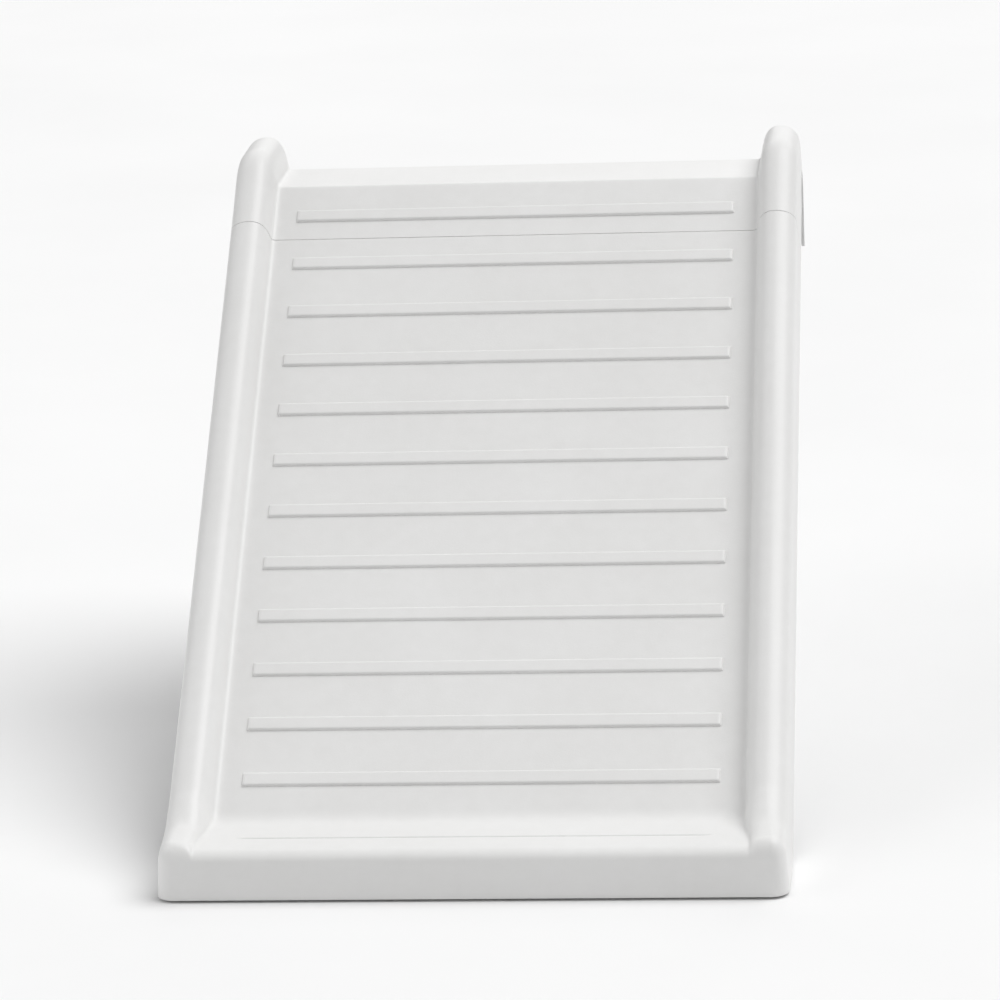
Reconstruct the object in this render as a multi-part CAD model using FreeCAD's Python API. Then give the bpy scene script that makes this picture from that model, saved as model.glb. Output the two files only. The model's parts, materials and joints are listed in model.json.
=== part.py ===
import FreeCAD, Part
import os
from math import sin, cos, tan, radians, sqrt, atan2, pi

V = FreeCAD.Vector
os.makedirs("parts", exist_ok=True)

# ---------------------------------------------------------------------------
# Driving dimensions, millimetres.  Work axes while modelling: X across the
# ramp, Y from the toe towards the pool, Z up from the ground.  Everything is
# shifted at export so that the axis of the pool's top rail is the origin.
# ---------------------------------------------------------------------------
WIDTH = 690.0            # overall width of ramp and saddle
ANGLE = 36.75            # slope of the deck
WALL = 3.5               # wall of the moulded shells
BREAK_Y, BREAK_Z = 105.4, 56.1    # where the toe strip meets the slope
PLAT_Z = 606.8           # top of the platform
PLAT_REAR = 955.0        # outer face of the apron on the water side
SEAM_S = 836.0           # seam between ramp and saddle, along the slope
SEAM_GAP = 0.6
RAIL_W = 56.0            # width of a moulded side rail
RAIL_H = 36.0            # height of a side rail above the deck
HORN_Z = 651.0           # crest of the side rails over the platform
HORN_REAR = 985.0        # rear face of the side rails
HOOK_Z = 500.0           # lower edge of the apron and the horns
TOE_R = 20.0             # plan radius of the toe's front corners
SKIRT_N = 45.0           # depth of the side skirts below the deck
SKIRT_Z = 3.0            # lower edge of the toe above the ground
RIB_PITCH = 74.4
RIB_TOP_S = 872.2        # highest rib, on the saddle
RIB_COUNT = 12
RIB_HALF = 266.0         # half length of a rib
RIB_W, RIB_H = 17.5, 3.0

POOL_RAIL_Y, POOL_RAIL_Z = 894.0, 570.0   # axis of the pool's top rail
CRADLE_R = 22.0          # inner radius of the rubber cradle pads
PAD_T = 4.0
CRADLE_X, CRADLE_LEN = 235.0, 80.0

PIVOT_N = -47.0          # fold hinge axis below the deck surface
ROD_R = 4.0
RUN_CLEAR = 0.06         # radial running clearance
KNUCKLE_R = 9.0
HINGE_X = 110.0          # centre of each hinge
STUD_R = 4.0
KEEPER_Y = -38.0         # stud axis, measured from the pool rail's axis

CA, SA = cos(radians(ANGLE)), sin(radians(ANGLE))
HALF = WIDTH / 2.0


# ---------------------------------------------------------------------------
# helpers
# ---------------------------------------------------------------------------
def on_slope(s, n):
    """Y, Z of a point s along the slope from the break, n above the deck."""
    return (BREAK_Y + s * CA - n * SA, BREAK_Z + s * SA + n * CA)


def rounded(points, x=0.0):
    """Closed face in a YZ plane from (y, z, corner radius) points."""
    n = len(points)
    edges = []
    ends = []
    for i in range(n):
        p = V(x, points[i][0], points[i][1])
        r = points[i][2] if len(points[i]) > 2 else 0.0
        a = V(x, points[i - 1][0], points[i - 1][1])
        b = V(x, points[(i + 1) % n][0], points[(i + 1) % n][1])
        if r <= 0:
            ends.append((p, p, None))
            continue
        u = (a - p).normalize()
        v = (b - p).normalize()
        half = u.getAngle(v) / 2.0
        d = r / tan(half)
        t1, t2 = p + u * d, p + v * d
        bis = (u + v).normalize()
        mid = p + bis * (r / sin(half) - r)
        ends.append((t1, t2, mid))
    for i in range(n):
        t1, t2, mid = ends[i]
        if mid is not None:
            edges.append(Part.Arc(t1, mid, t2).toShape())
        nxt = ends[(i + 1) % n][0]
        if (nxt - t2).Length > 1e-6:
            edges.append(Part.LineSegment(t2, nxt).toShape())
    return Part.Face(Part.Wire(edges))


def slab(points, x0, x1):
    return rounded(points, x0).extrude(V(x1 - x0, 0, 0))


def box(x0, x1, y0, y1, z0, z1):
    return Part.makeBox(x1 - x0, y1 - y0, z1 - z0, V(x0, y0, z0))


def cyl(r, p, d, length):
    return Part.makeCylinder(r, length, V(*p), V(*d))


def tilt(shape):
    """From slope axes (x, s, n) to the work axes."""
    s = shape.copy()
    s.rotate(V(0, 0, 0), V(1, 0, 0), ANGLE)
    s.translate(V(0, BREAK_Y, BREAK_Z))
    return s


def fuse(shapes):
    out = shapes[0]
    if len(shapes) > 1:
        out = out.fuse(shapes[1:])
    return out.removeSplitter()


def mirror_x(shape):
    return shape.mirror(V(0, 0, 0), V(1, 0, 0))


def round_edges(shape, radius, chooser):
    picked = [e for e in shape.Edges if chooser(e)]
    return shape.makeFillet(radius, picked)


def cross(p, d, q, e):
    """Crossing of two lines in the YZ plane."""
    den = d[0] * e[1] - d[1] * e[0]
    t = ((q[0] - p[0]) * e[1] - (q[1] - p[1]) * e[0]) / den
    return (p[0] + t * d[0], p[1] + t * d[1])


# ---------------------------------------------------------------------------
# moulded shells
# ---------------------------------------------------------------------------
def rail_profile(inset):
    """Crest of a side rail, seen from the side, from toe to water side."""
    top = HORN_Z - inset
    slope_pt = on_slope(0.0, RAIL_H - inset)
    knee = cross(slope_pt, (CA, SA), (0.0, top), (1.0, 0.0))
    nose = cross(slope_pt, (CA, SA), (8.0, BREAK_Z - inset), (76.0, 29.0))
    corner = cross((8.0, BREAK_Z - inset), (76.0, 29.0), (inset, 0.0), (0.0, 1.0))
    return [(corner[0], corner[1], 12.0),
            (nose[0], nose[1], 150.0),
            (knee[0], knee[1], 70.0 - inset),
            (HORN_REAR - inset, top, 60.0 - inset)]


skirt_a = on_slope(0.0, -SKIRT_N)
notch_r = 31.0
skirt_front = cross(skirt_a, (CA, SA), (POOL_RAIL_Y - notch_r, 0.0), (0.0, 1.0))
skirt_toe = cross(skirt_a, (CA, SA), (0.0, SKIRT_Z), (1.0, 0.0))

rail_outer_pts = ([(0.0, SKIRT_Z)] + rail_profile(0.0) +
                  [(HORN_REAR, HOOK_Z, 6.0), (POOL_RAIL_Y + notch_r, HOOK_Z, 6.0),
                   (POOL_RAIL_Y + notch_r, POOL_RAIL_Z + notch_r, notch_r - 0.01),
                   (POOL_RAIL_Y - notch_r, POOL_RAIL_Z + notch_r, notch_r - 0.01),
                   (skirt_front[0], skirt_front[1]),
                   (skirt_toe[0], SKIRT_Z)])
rail_inner_pts = ([(WALL, -20.0)] + rail_profile(WALL) +
                  [(HORN_REAR - WALL, 420.0), (925.0, 380.0), (110.0, -20.0)])


def rail_solid(pts, x0, x1, r_out, r_in, z_low):
    body = slab(pts, x0, x1)

    def crest(e, x):
        c = e.CenterOfMass
        if abs(c.x - x) > 0.01 or abs(e.BoundBox.XLength) > 0.01:
            return False
        y, z = c.y, c.z
        if e.Length < 0.5:
            return False
        if y < 16.0 or z > HORN_Z - 25.0 or (y > HORN_REAR - 20.0 and z > z_low):
            return y > 1.0 + (0 if z > 40 else 100)
        line = BREAK_Z + (y - BREAK_Y) * SA / CA
        return z > line + 15.0
    body = round_edges(body, r_out, lambda e: crest(e, x0))
    body = round_edges(body, r_in, lambda e: crest(e, x1))
    return body


def plan_outline(half, y0, r):
    """Tall prism over the plan, with the toe's front corners rounded."""
    pts = [V(-half, 1200, -100), V(-half, y0 + r, -100), V(-half + r, y0, -100),
           V(half - r, y0, -100), V(half, y0 + r, -100), V(half, 1200, -100)]
    k = r * (1 - sqrt(0.5))
    edges = [Part.LineSegment(pts[0], pts[1]).toShape(),
             Part.Arc(pts[1], V(-half + k, y0 + k, -100), pts[2]).toShape(),
             Part.LineSegment(pts[2], pts[3]).toShape(),
             Part.Arc(pts[3], V(half - k, y0 + k, -100), pts[4]).toShape(),
             Part.LineSegment(pts[4], pts[5]).toShape(),
             Part.LineSegment(pts[5], pts[0]).toShape()]
    return Part.Face(Part.Wire(edges)).extrude(V(0, 0, 1000))


def build_shell():
    top_in = PLAT_Z - WALL
    low = on_slope(0.0, -WALL)
    toe_in = cross(low, (CA, SA), (0.0, BREAK_Z - WALL), (1.0, 0.0))
    plat_in = cross(low, (CA, SA), (0.0, top_in), (1.0, 0.0))
    plat_front = cross(on_slope(0, 0), (CA, SA), (0.0, PLAT_Z), (1.0, 0.0))
    strip = slab([(0.0, SKIRT_Z), (0.0, BREAK_Z, 10.0), (BREAK_Y, BREAK_Z, 20.0),
                  (plat_front[0], PLAT_Z, 8.0), (PLAT_REAR, PLAT_Z, 14.0),
                  (PLAT_REAR, HOOK_Z), (PLAT_REAR - WALL, HOOK_Z),
                  (PLAT_REAR - WALL, top_in, 10.5), (plat_in[0], top_in, 4.5),
                  (toe_in[0], toe_in[1], 23.5), (WALL, BREAK_Z - WALL, 6.5),
                  (WALL, SKIRT_Z)], -HALF + 26.0, HALF - 26.0)
    under = slab([(WALL, -20.0), (WALL, BREAK_Z - WALL, 6.5),
                  (toe_in[0], toe_in[1], 23.5), (plat_in[0], top_in, 4.5),
                  (PLAT_REAR - WALL, top_in, 10.5), (PLAT_REAR - WALL, 380.0),
                  (925.0, 340.0), (110.0, -20.0)], -HALF + WALL, HALF - WALL)
    # near the toe the hollow stays inside the rails' rounded shoulders
    under = under.cut(Part.makeCompound(
        [box(-HALF - 5, -HALF + 26.0, -10, 75, -50, 300),
         box(HALF - 26.0, HALF + 5, -10, 75, -50, 300)]))
    outer_l = rail_solid(rail_outer_pts, -HALF, -HALF + RAIL_W, 24.0, 20.0, 510.0)
    inner_l = rail_solid(rail_inner_pts, -HALF + WALL, -HALF + RAIL_W - WALL,
                         20.5, 16.5, 425.0)
    shell = strip.fuse([outer_l, mirror_x(outer_l)])
    shell = shell.common(plan_outline(HALF, 0.0, TOE_R))
    hollow = plan_outline(HALF - WALL, WALL, TOE_R - WALL)
    for tool in (under, inner_l, mirror_x(inner_l)):
        shell = shell.cut(tool.common(hollow))
    return shell.removeSplitter()


shell = build_shell()

# half spaces each side of the seam
seam_low = tilt(box(-500, 500, -900, SEAM_S - SEAM_GAP / 2, -400, 400))
seam_high = tilt(box(-500, 500, SEAM_S + SEAM_GAP / 2, 1500, -900, 900))
ramp = shell.common(seam_low)
saddle = shell.common(seam_high)


def rib(s, half, w, h):
    prof = [V(-half, s - w / 2, -1.0), V(-half, s - w * 0.47, h * 0.7),
            V(-half, s - w * 0.38, h), V(-half, s + w * 0.38, h),
            V(-half, s + w * 0.47, h * 0.7), V(-half, s + w / 2, -1.0),
            V(-half, s - w / 2, -1.0)]
    return tilt(Part.Face(Part.makePolygon(prof)).extrude(V(2 * half, 0, 0)))


ribs = [rib(RIB_TOP_S - i * RIB_PITCH, RIB_HALF, RIB_W, RIB_H)
        for i in range(RIB_COUNT)]
toe_rib = box(-258, 258, 48.5, 51.5, BREAK_Z - 1.0, BREAK_Z + 0.8)


def boss(x, s, n_low, r=7.0, pilot=2.2):
    b = cyl(r, (x, s, n_low), (0, 0, 1), -n_low - 1.5)
    b = b.cut(cyl(pilot, (x, s, n_low - 1), (0, 0, 1), 16.0))
    return tilt(b)


BEAM_S = {"cross_beam_lower": 120.0, "cross_beam_middle": 430.0,
          "cross_beam_upper": 700.0}
BEAM_X = (-240.0, -80.0, 80.0, 240.0)
PLATE_N = -22.0          # underside of the bosses
LEAF_X = (-38.0, 38.0)
RAMP_LEAF_S, SADDLE_LEAF_S = (780.0,), (884.0,)
TOE_X = (-290.0, -150.0, 150.0, 290.0)
TOE_Y = 52.0
CR_SX = (-28.0, 28.0)
CR_SY = (-34.0, 34.0)

ramp_bosses = [boss(x, s, PLATE_N) for s in BEAM_S.values() for x in BEAM_X]
ramp_bosses += [boss(c * HINGE_X + x, s, PLATE_N)
                for c in (-1, 1) for x in LEAF_X for s in RAMP_LEAF_S]
for x in TOE_X:
    b = cyl(7.0, (x, TOE_Y, 8.0), (0, 0, 1), BREAK_Z - 2.0 - 8.0)
    ramp_bosses.append(b.cut(cyl(2.2, (x, TOE_Y, 7.0), (0, 0, 1), 18.0)))
saddle_bosses = [boss(c * HINGE_X + x, s, PLATE_N)
                 for c in (-1, 1) for x in LEAF_X for s in SADDLE_LEAF_S]
for c in (-1, 1):
    for x in CR_SX:
        for y in CR_SY:
            p = (c * CRADLE_X + x, POOL_RAIL_Y + y, PLAT_Z - 17.0)
            b = cyl(5.5, p, (0, 0, 1), 15.5)
            saddle_bosses.append(b.cut(cyl(2.0, (p[0], p[1], p[2] - 1), (0, 0, 1), 13.0)))

ramp_shell = fuse([ramp] + ribs[1:] + [toe_rib] + ramp_bosses)
saddle_shell = fuse([saddle, ribs[0]] + saddle_bosses)


# ---------------------------------------------------------------------------
# ramp: cross beams, rail tubes, toe
# ---------------------------------------------------------------------------
def screw(x, y, z, d, shank_r, shank, head_r, head_h):
    """Pan-head screw: head below the point, shank along d."""
    dv = V(*d)
    h = Part.makeCylinder(head_r, head_h, V(x, y, z) - dv * head_h, dv)
    h = h.makeFillet(min(head_h, head_r) * 0.45,
                     [e for e in h.Edges if (e.CenterOfMass - (V(x, y, z) - dv * head_h)).Length < 0.01])
    s = Part.makeCylinder(shank_r, shank, V(x, y, z), dv)
    sock = Part.makeBox(1.1, head_r * 1.1, 1.0, V(-0.55, -head_r * 0.55, -head_h - 0.01))
    sock2 = Part.makeBox(head_r * 1.1, 1.1, 1.0, V(-head_r * 0.55, -0.55, -head_h - 0.01))
    cross_slot = sock.fuse(sock2)
    cross_slot.rotate(V(0, 0, 0), V(0, 1, 0), 0)
    cross_slot.translate(V(x, y, z))
    return h.fuse(s).cut(cross_slot).removeSplitter()


def beam(s0):
    w, t, n0, n1 = 40.0, 2.0, PLATE_N - 2.0, -4.0
    b = box(-334, 334, s0 - w / 2, s0 + w / 2, n0, n1)
    b = b.cut(box(-340, 340, s0 - w / 2 + t, s0 + w / 2 - t, PLATE_N, 10))
    for x in BEAM_X:
        b = b.cut(cyl(2.4, (x, s0, n0 - 1), (0, 0, 1), 5))
    for x in range(-300, 301, 40):
        if min(abs(x - k) for k in BEAM_X) > 18:
            b = b.cut(cyl(6.0, (x, s0, n0 - 1), (0, 0, 1), 5))
    return tilt(b)


nodes = {}
nodes["ramp_shell"] = ramp_shell
nodes["saddle_shell"] = saddle_shell
for name, s0 in BEAM_S.items():
    nodes[name] = beam(s0)
nodes["beam_screws"] = Part.makeCompound(
    [tilt(screw(x, s, PLATE_N - 2.0, (0, 0, 1), 2.2, 14.0, 4.6, 3.0))
     for s in BEAM_S.values() for x in BEAM_X])

TUBE_X, TUBE_N, TUBE_R = HALF - RAIL_W / 2, 9.0, 12.5
TUBE_S0, TUBE_S1 = 70.0, 822.0
for side, c in (("left", -1), ("right", 1)):
    t = cyl(TUBE_R, (c * TUBE_X, TUBE_S0, TUBE_N), (0, 1, 0), TUBE_S1 - TUBE_S0)
    t = t.cut(cyl(TUBE_R - 1.5, (c * TUBE_X, TUBE_S0 - 1, TUBE_N), (0, 1, 0),
                  TUBE_S1 - TUBE_S0 + 2))
    nodes["rail_tube_" + side] = tilt(t)
clips, plugs = [], []
for c in (-1, 1):
    for s in BEAM_S.values():
        k = box(c * TUBE_X - 15.0, c * TUBE_X + 15.0, s - 14, s + 14, -4.0, 14.0)
        k = k.makeFillet(3.0, [e for e in k.Edges
                               if e.CenterOfMass.z > 13.9 and e.BoundBox.YLength > 20])
        k = k.cut(cyl(TUBE_R, (c * TUBE_X, s - 20, TUBE_N), (0, 1, 0), 40))
        clips.append(tilt(k))
    for s, d in ((TUBE_S0, 1), (TUBE_S1, -1)):
        p = cyl(TUBE_R - 1.5, (c * TUBE_X, s, TUBE_N), (0, d, 0), 14.0)
        f = cyl(TUBE_R, (c * TUBE_X, s, TUBE_N), (0, -d, 0), 2.5)
        plugs.append(tilt(p.fuse(f).removeSplitter()))
nodes["tube_clips"] = Part.makeCompound(clips)
nodes["tube_plugs"] = Part.makeCompound(plugs)

sill = box(-338, 338, 6.0, 100.0, 4.0, 8.0)
sill = sill.makeFillet(15.0, [e for e in sill.Edges if e.BoundBox.ZLength > 3.9])
for x in TOE_X:
    sill = sill.cut(cyl(2.4, (x, TOE_Y, 3), (0, 0, 1), 6))
for x in (-220.0, -75.0, 0.0, 75.0, 220.0):
    sill = sill.cut(cyl(9.0, (x, TOE_Y, 3), (0, 0, 1), 6))
nodes["toe_sill"] = sill
pads, pad_screws = [], []
for x in TOE_X:
    p = cyl(20.0, (x, TOE_Y, 0.0), (0, 0, 1), 4.0)
    p = p.makeFillet(1.2, [e for e in p.Edges if e.CenterOfMass.z < 0.01 and e.BoundBox.XLength > 30])
    p = p.cut(cyl(5.2, (x, TOE_Y, -1), (0, 0, 1), 4.2)).cut(cyl(2.2, (x, TOE_Y, 1), (0, 0, 1), 6))
    pads.append(p)
    pad_screws.append(screw(x, TOE_Y, 3.2, (0, 0, 1), 2.2, 16.0, 4.6, 2.4))
nodes["toe_pads"] = Part.makeCompound(pads)
nodes["toe_screws"] = Part.makeCompound(pad_screws)


# ---------------------------------------------------------------------------
# fold hinge
# ---------------------------------------------------------------------------
def leaf(direction, segments, bore, x_c):
    """Bracket with knuckles; direction +1 for the saddle, -1 for the ramp."""
    d = direction
    near, far = SEAM_S + d * 12.0, SEAM_S + d * 70.0
    plate = box(x_c - 60, x_c + 60, min(near, far), max(near, far),
                PLATE_N - 4.0, PLATE_N)
    plate = plate.makeFillet(5.0, [e for e in plate.Edges if e.BoundBox.ZLength > 3.9
                                   and abs(e.CenterOfMass.y - far) < 0.1])
    parts = [plate]
    for a, b in segments:
        prof = Part.makePolygon([V(x_c + a, SEAM_S + d * 12.0, PLATE_N),
                                 V(x_c + a, SEAM_S + d * 34.0, PLATE_N - 3.0),
                                 V(x_c + a, SEAM_S + d * 6.0, PIVOT_N - 6.5),
                                 V(x_c + a, SEAM_S, PIVOT_N),
                                 V(x_c + a, SEAM_S + d * 12.0, PLATE_N)])
        parts.append(Part.Face(prof).extrude(V(b - a, 0, 0)))
        parts.append(cyl(KNUCKLE_R, (x_c + a, SEAM_S, PIVOT_N), (1, 0, 0), b - a))
    body = fuse(parts)
    body = body.cut(cyl(bore, (x_c - 70, SEAM_S, PIVOT_N), (1, 0, 0), 140))
    for x in LEAF_X:
        s = SADDLE_LEAF_S[0] if d > 0 else RAMP_LEAF_S[0]
        body = body.cut(cyl(2.4, (x_c + x, s, PLATE_N - 5), (0, 0, 1), 6))
    return tilt(body)


BUSH_R = 6.0
bushes, washers, sl_screws, rl_screws = [], [], [], []
for side, c in (("left", -1), ("right", 1)):
    xc = c * HINGE_X
    nodes["saddle_leaf_" + side] = leaf(1, [(-60, -30), (30, 60)], ROD_R, xc)
    nodes["ramp_leaf_" + side] = leaf(-1, [(-28.8, 28.8)], BUSH_R, xc)
    b = cyl(BUSH_R, (xc - 28.8, SEAM_S, PIVOT_N), (1, 0, 0), 57.6)
    b = b.cut(cyl(ROD_R + RUN_CLEAR, (xc - 30, SEAM_S, PIVOT_N), (1, 0, 0), 60))
    bushes.append(tilt(b))
    for a in (-29.9, 29.1):
        w = cyl(8.0, (xc + a, SEAM_S, PIVOT_N), (1, 0, 0), 0.8)
        w = w.cut(cyl(ROD_R, (xc + a - 1, SEAM_S, PIVOT_N), (1, 0, 0), 3))
        washers.append(tilt(w))
    for x in LEAF_X:
        sl_screws.append(tilt(screw(xc + x, SADDLE_LEAF_S[0], PLATE_N - 4.0, (0, 0, 1),
                                    2.2, 16.0, 4.6, 3.0)))
        rl_screws.append(tilt(screw(xc + x, RAMP_LEAF_S[0], PLATE_N - 4.0, (0, 0, 1),
                                    2.2, 16.0, 4.6, 3.0)))
nodes["hinge_bushes"] = Part.makeCompound(bushes)
nodes["hinge_washers"] = Part.makeCompound(washers)
nodes["saddle_leaf_screws"] = Part.makeCompound(sl_screws)
nodes["ramp_leaf_screws"] = Part.makeCompound(rl_screws)
rod_half = HINGE_X + 60.0 + 8.0
nodes["hinge_rod"] = tilt(cyl(ROD_R, (-rod_half, SEAM_S, PIVOT_N), (1, 0, 0), 2 * rod_half))
caps = []
for c in (-1, 1):
    k = cyl(7.0, (c * (rod_half - 7.0), SEAM_S, PIVOT_N), (c, 0, 0), 9.5)
    k = k.makeFillet(2.0, [e for e in k.Edges if abs(abs(e.CenterOfMass.x) - (rod_half + 2.5)) < 0.01])
    k = k.cut(cyl(ROD_R, (c * (rod_half - 8.0), SEAM_S, PIVOT_N), (c, 0, 0), 8.0))
    caps.append(tilt(k))
nodes["rod_caps"] = Part.makeCompound(caps)


# ---------------------------------------------------------------------------
# saddle: cradles for the pool's top rail, keepers, pads
# ---------------------------------------------------------------------------
def at_rail(shape):
    s = shape.copy()
    s.translate(V(0, POOL_RAIL_Y, POOL_RAIL_Z))
    return s


TOP = PLAT_Z - WALL - POOL_RAIL_Z        # platform's underside above the rail axis
LUG_Z = -24.0
bar_t = 5.0
cr_screws, studs = [], []
for side, c in (("left", -1), ("right", 1)):
    x0, x1 = c * CRADLE_X - CRADLE_LEN / 2, c * CRADLE_X + CRADLE_LEN / 2
    blk = box(x0, x1, -44.0, 44.0, 0.0, TOP)
    blk = blk.makeFillet(5.0, [e for e in blk.Edges if e.BoundBox.ZLength > 30])
    lug = cyl(9.5, (c * CRADLE_X, KEEPER_Y, LUG_Z), (0, 0, 1), 30.0)
    blk = blk.fuse(lug)
    blk = blk.cut(cyl(CRADLE_R + PAD_T, (x0 - 1, 0, 0), (1, 0, 0), CRADLE_LEN + 2))
    blk = blk.cut(box(min(c * 190.0, c * 203.0), max(c * 190.0, c * 203.0),
                      -15.0, 15.0, TOP - bar_t, TOP + 1))
    blk = blk.cut(cyl(STUD_R, (c * CRADLE_X, KEEPER_Y, LUG_Z - 1), (0, 0, 1), 23.0))
    for sx in CR_SX:
        for sy in CR_SY:
            px = c * CRADLE_X + sx
            blk = blk.cut(cyl(5.5, (px, sy, TOP - 13.5), (0, 0, 1), 20))
            blk = blk.cut(cyl(2.2, (px, sy, -1), (0, 0, 1), 30))
            blk = blk.cut(cyl(5.0, (px, sy, -1), (0, 0, 1), 5.0))
            cr_screws.append(at_rail(screw(px, sy, 4.0, (0, 0, 1), 2.0, 26.0, 4.4, 2.8)))
    nodes["cradle_" + side] = at_rail(blk.removeSplitter())
    pad = cyl(CRADLE_R + PAD_T, (x0 + 1, 0, 0), (1, 0, 0), CRADLE_LEN - 2)
    pad = pad.cut(cyl(CRADLE_R, (x0, 0, 0), (1, 0, 0), CRADLE_LEN))
    pad = pad.common(box(x0, x1, -40, 40, 0.0, 40))
    nodes["cradle_pad_" + side] = at_rail(pad)
    studs.append(at_rail(cyl(STUD_R, (c * CRADLE_X, KEEPER_Y, LUG_Z - 27.0), (0, 0, 1), 49.0)))

    # keeper finger: reaches under the outer side of the pool's rail
    kp = cyl(12.0, (c * CRADLE_X, KEEPER_Y, LUG_Z - 6.3), (0, 0, 1), 6.0)
    arm = box(c * CRADLE_X - 9.0, c * CRADLE_X + 9.0, KEEPER_Y, -6.0,
              LUG_Z - 6.3, LUG_Z - 0.3)
    arm = arm.makeFillet(4.0, [e for e in arm.Edges if e.BoundBox.ZLength > 5.9
                               and e.CenterOfMass.y > -7.0])
    kp = kp.fuse(arm)
    kp = kp.cut(cyl(STUD_R + RUN_CLEAR, (c * CRADLE_X, KEEPER_Y, LUG_Z - 8), (0, 0, 1), 10))
    nodes["keeper_" + side] = at_rail(kp.removeSplitter())

    # hand knob under the keeper, with a brass insert
    zk = LUG_Z - 6.6
    knob = cyl(13.5, (c * CRADLE_X, KEEPER_Y, zk - 14.0), (0, 0, 1), 12.0)
    knob = knob.fuse(cyl(9.0, (c * CRADLE_X, KEEPER_Y, zk - 14.0), (0, 0, 1), 14.0))
    for i in range(6):
        a = i * pi / 3
        knob = knob.fuse(cyl(4.2, (c * CRADLE_X + 12.6 * cos(a), KEEPER_Y + 12.6 * sin(a),
                                   zk - 14.0), (0, 0, 1), 12.0))
    knob = knob.cut(cyl(6.0, (c * CRADLE_X, KEEPER_Y, zk - 16.0), (0, 0, 1), 20.0))
    nodes["keeper_knob_" + side] = at_rail(knob.removeSplitter())
    ins = cyl(6.0, (c * CRADLE_X, KEEPER_Y, zk - 13.0), (0, 0, 1), 13.0)
    ins = ins.cut(cyl(STUD_R + RUN_CLEAR, (c * CRADLE_X, KEEPER_Y, zk - 15), (0, 0, 1), 20))
    nodes["knob_insert_" + side] = at_rail(ins)
nodes["cradle_screws"] = Part.makeCompound(cr_screws)
nodes["keeper_studs"] = Part.makeCompound(studs)
bar = box(-203.0, 203.0, -15.0, 15.0, TOP - bar_t, TOP)
for x in range(-160, 161, 40):
    bar = bar.cut(cyl(5.0, (x, 0, TOP - bar_t - 1), (0, 0, 1), 8))
nodes["platform_bar"] = at_rail(bar)
lp = box(-270, 270, PLAT_REAR - WALL - 8.0, PLAT_REAR - WALL, HOOK_Z + 6.0, HOOK_Z + 62.0)
lp = lp.makeFillet(3.0, [e for e in lp.Edges if e.CenterOfMass.y < PLAT_REAR - WALL - 7.9])
nodes["liner_pad"] = lp

# ---------------------------------------------------------------------------
# export about the pool rail's axis
# ---------------------------------------------------------------------------
total = 0
for name, shape in nodes.items():
    s = shape.copy()
    s.translate(V(0, -POOL_RAIL_Y, -POOL_RAIL_Z))
    bad = [x for x in s.Solids if not x.isValid()]
    print("%-22s solids %2d  vol %9.1f cm3  valid %s  z %.1f..%.1f" % (
        name, len(s.Solids), s.Volume / 1000.0, not bad and s.isValid(),
        s.BoundBox.ZMin, s.BoundBox.ZMax))
    if len(s.Solids) == 1:
        s = s.Solids[0]
    s.exportStep("parts/%s.step" % name)
    total += 1
print("nodes", total)
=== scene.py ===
import json
import math

import bmesh
import bpy
import numpy as np
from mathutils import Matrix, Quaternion, Vector


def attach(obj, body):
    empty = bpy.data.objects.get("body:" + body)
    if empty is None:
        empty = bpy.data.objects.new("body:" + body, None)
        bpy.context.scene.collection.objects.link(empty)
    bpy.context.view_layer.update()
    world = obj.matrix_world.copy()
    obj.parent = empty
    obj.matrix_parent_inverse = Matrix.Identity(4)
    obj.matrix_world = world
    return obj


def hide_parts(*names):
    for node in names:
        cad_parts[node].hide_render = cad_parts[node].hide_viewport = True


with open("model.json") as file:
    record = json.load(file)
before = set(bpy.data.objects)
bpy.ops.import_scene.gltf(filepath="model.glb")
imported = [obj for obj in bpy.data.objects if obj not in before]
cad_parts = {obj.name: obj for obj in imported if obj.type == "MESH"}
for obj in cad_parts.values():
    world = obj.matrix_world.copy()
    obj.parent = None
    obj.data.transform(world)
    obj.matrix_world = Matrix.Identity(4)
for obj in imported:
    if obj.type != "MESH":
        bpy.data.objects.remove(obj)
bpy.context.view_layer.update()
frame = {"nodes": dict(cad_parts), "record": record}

# ---------------------------------------------------------------------------
# dimensions, millimetres, in work axes: Y from the toe, Z from the ground.
# The frame's origin is the axis of the pool's rail, at (OY, OZ) here.
# ---------------------------------------------------------------------------
OY, OZ = 894.0, 570.0
HALF = 345.0
ANG = math.radians(36.75)
CA, SA = math.cos(ANG), math.sin(ANG)
BY, BZ = 105.4, 56.1
PLAT_Z, PLAT_REAR = 606.8, 955.0
SEAM = 836.0
GAP = 0.95
RAIL_H, HORN_Z, HORN_REAR, HOOK_Z = 36.0, 650.6, 985.0, 500.0
SKIRT, SKIRT_Z = 45.0, 3.0
PITCH, RIB1 = 74.4, 872.2
RIB_HALF, RIB_W, RIB_H = 266.0, 17.5, 3.0
WALL = 3.4


def slope(s, n):
    return np.array([BY + s * CA - n * SA, BZ + s * SA + n * CA])


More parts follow.
